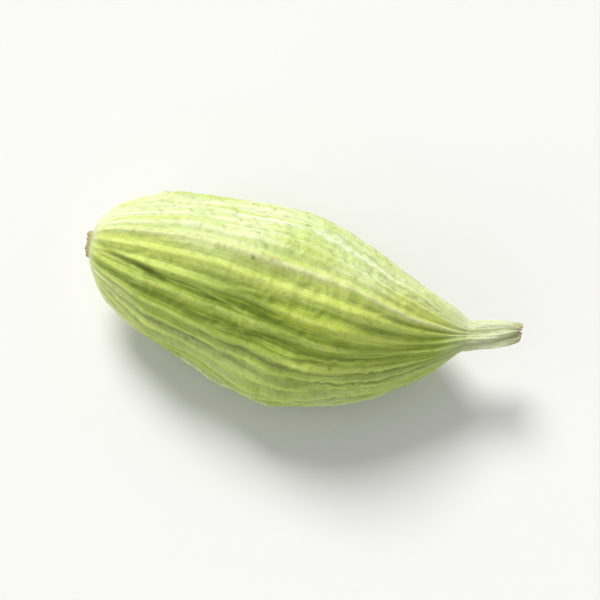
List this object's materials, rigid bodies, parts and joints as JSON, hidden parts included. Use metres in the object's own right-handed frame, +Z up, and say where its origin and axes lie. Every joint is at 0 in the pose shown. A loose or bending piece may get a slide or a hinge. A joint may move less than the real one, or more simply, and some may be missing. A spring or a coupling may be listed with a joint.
{
  "type": "green cardamom pod",
  "caption": "Dried green cardamom pod: a ribbed, three-sided husk with a blunt stalk scar at one end and a thin dry beak at the other.",
  "frame": {"origin": "middle of the pod's box, on the surface that it lies on", "axes": "+X along the pod from its stalk scar to its beak, +Z up from the face it rests on to the keel opposite"},
  "size_m": [0.0196, 0.0088, 0.0084],
  "materials": {
    "husk": "dry papery husk, ribbed lengthwise, faint satin sheen"
  },
  "bodies": {
    "root": {"cardamom_pod": "husk"}
  },
  "joints": []
}
